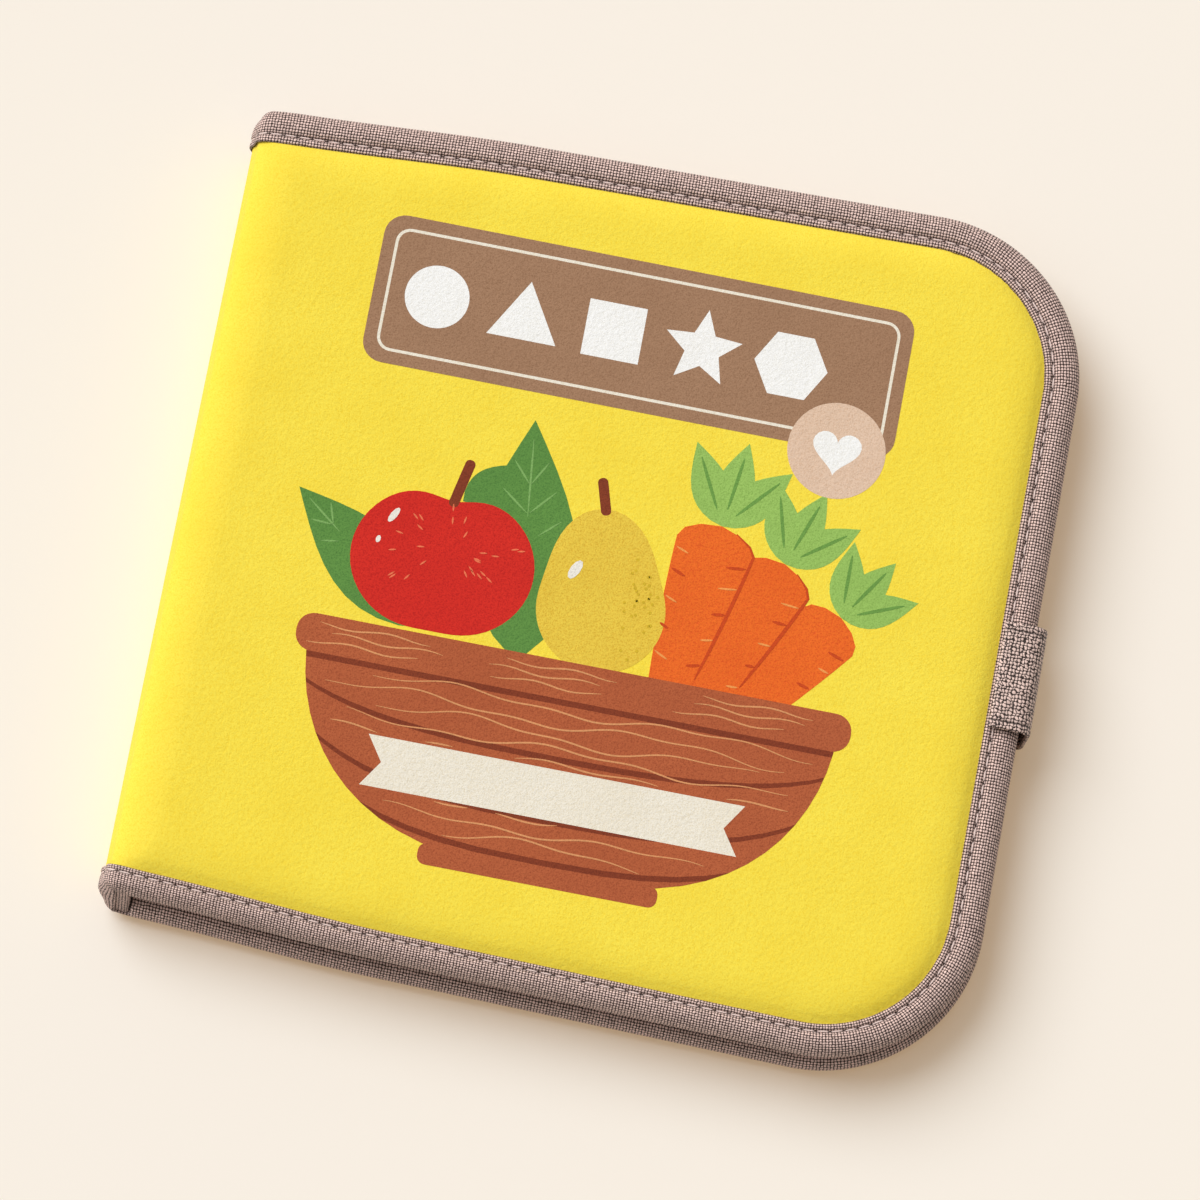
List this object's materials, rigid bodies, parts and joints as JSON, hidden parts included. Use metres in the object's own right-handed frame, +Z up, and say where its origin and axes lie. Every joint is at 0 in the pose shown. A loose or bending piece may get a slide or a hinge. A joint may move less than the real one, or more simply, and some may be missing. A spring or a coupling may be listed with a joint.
{
  "type": "quiet book",
  "caption": "Soft felt quiet book with padded covers, woven binding tape, rounded fore-edge corners, a wrap-over closing tab and felt leaves.",
  "frame": {"origin": "middle of the flat under the back cover, on which the closed book lies", "axes": "+X from the spine to the fore edge, +Y from the tail to the head, +Z up out of the front cover"},
  "size_m": [0.2035, 0.203, 0.0209],
  "materials": {
    "cover_felt": "matte",
    "foam": "matte",
    "lining_felt": "matte",
    "binding_tape": "matte",
    "tab_webbing": "matte",
    "hook_fastener": "matte",
    "ink_label": "matte",
    "ink_cream": "matte",
    "ink_white": "matte",
    "ink_badge": "matte",
    "ink_bowl": "matte",
    "ink_dark_brown": "matte",
    "ink_red": "matte",
    "ink_pear": "matte",
    "ink_orange": "matte",
    "ink_dark_green": "matte",
    "ink_light_green": "matte"
  },
  "bodies": {
    "back_cover": {"back_felt": "cover_felt", "back_padding": "foam", "back_lining": "lining_felt", "back_tape": "binding_tape", "page_block": "lining_felt", "closing_tab": "tab_webbing", "hook_patch": "hook_fastener"},
    "spine": {"spine_felt": "cover_felt", "spine_padding": "foam", "spine_lining": "lining_felt", "spine_tape_head": "binding_tape", "spine_tape_tail": "binding_tape"},
    "front_cover": {"front_felt": "cover_felt", "front_padding": "foam", "front_lining": "lining_felt", "front_tape": "binding_tape", "loop_patch": "hook_fastener", "print_label": "ink_label", "print_cream": "ink_cream", "print_white": "ink_white", "print_badge": "ink_badge", "print_bowl": "ink_bowl", "print_bowl_lines": "ink_dark_brown", "print_apple": "ink_red", "print_pear": "ink_pear", "print_carrots": "ink_orange", "print_dark_leaves": "ink_dark_green", "print_light_leaves": "ink_light_green", "print_stalks": "ink_dark_brown"}
  },
  "joints": [
    {"name": "spine_hinge", "type": "hinge", "parent": "back_cover", "child": "spine", "pos_m": [-0.0967, 0, 0.0047], "axis": [0, -1, 0], "range_deg": [0, 90]},
    {"name": "front_cover_hinge", "type": "hinge", "parent": "spine", "child": "front_cover", "pos_m": [-0.0967, 0, 0.0154], "axis": [0, -1, 0], "range_deg": [0, 90], "deforming": ["closing_tab", "hook_patch"]}
  ]
}
